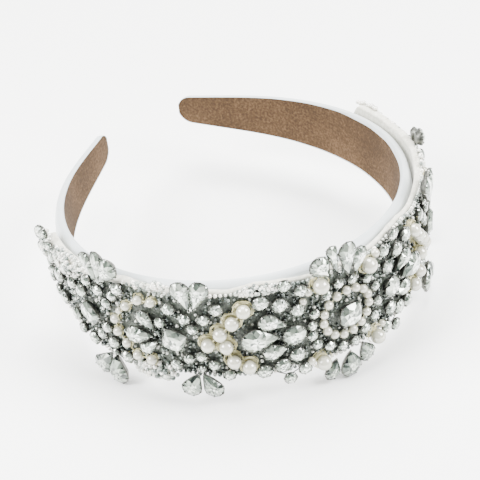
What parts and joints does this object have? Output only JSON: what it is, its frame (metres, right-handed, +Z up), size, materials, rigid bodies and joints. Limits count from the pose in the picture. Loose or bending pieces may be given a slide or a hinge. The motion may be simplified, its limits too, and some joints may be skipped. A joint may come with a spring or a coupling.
{
  "type": "beaded bridal headband",
  "caption": "Padded satin headband, open at the back, its front and sides faced with a sewn strip of cut crystals and pearls in a scalloped pattern, lined with suede.",
  "frame": {"origin": "middle of the base of the whole part, on the surface it stands on", "axes": "+Z up through the head, -Y to the front where the stones are tallest, +Y to the open back, +X to the side of the right arm as seen from the front"},
  "size_m": [0.1468, 0.1572, 0.0564],
  "materials": {
    "satin": "satin",
    "suede": "matte",
    "backing_felt": "matte",
    "bead_ground": "gloss",
    "crystal": "polished",
    "pearl": "gloss"
  },
  "bodies": {
    "root": {"satin_band": "satin", "lining": "suede", "backing": "backing_felt", "bead_ground": "bead_ground", "centre_stone": "crystal", "ring_pearls": "pearl", "flower_rounds": "crystal", "top_petal_left": "crystal", "top_petal_slim": "crystal", "top_petal_middle": "crystal", "top_petal_right": "crystal", "hem_petal_left": "crystal", "hem_petal_middle": "crystal", "hem_petal_right": "crystal", "top_pearl_left": "pearl", "top_pearl_right": "pearl", "hem_pearl_left": "pearl", "hem_pearl_right": "pearl", "teardrop_upper_left": "crystal", "teardrop_middle_left": "crystal", "teardrop_lower_left": "crystal", "flower_pear_upper_left": "crystal", "flower_pear_middle_left": "crystal", "flower_pear_lower_left": "crystal", "teardrop_upper_right": "crystal", "teardrop_middle_right": "crystal", "teardrop_lower_right": "crystal", "flower_pear_upper_right": "crystal", "flower_pear_middle_right": "crystal", "flower_pear_lower_right": "crystal", "big_round_left": "crystal", "square_stone_left": "crystal", "oblong_stone_left": "crystal", "arrow_pearls_left": "pearl", "upper_petals_left": "crystal", "lower_petals_left": "crystal", "far_upper_petals_left": "crystal", "far_lower_petals_left": "crystal", "inner_upper_rounds_left": "crystal", "inner_lower_rounds_left": "crystal", "side_upper_rounds_left": "crystal", "side_lower_rounds_left": "crystal", "far_rounds_left": "crystal", "side_flower_pearls_left": "pearl", "big_round_right": "crystal", "square_stone_right": "crystal", "oblong_stone_right": "crystal", "arrow_pearls_right": "pearl", "upper_petals_right": "crystal", "lower_petals_right": "crystal", "far_upper_petals_right": "crystal", "far_lower_petals_right": "crystal", "inner_upper_rounds_right": "crystal", "inner_lower_rounds_right": "crystal", "side_upper_rounds_right": "crystal", "side_lower_rounds_right": "crystal", "far_rounds_right": "crystal", "side_flower_pearls_right": "pearl"}
  },
  "joints": []
}
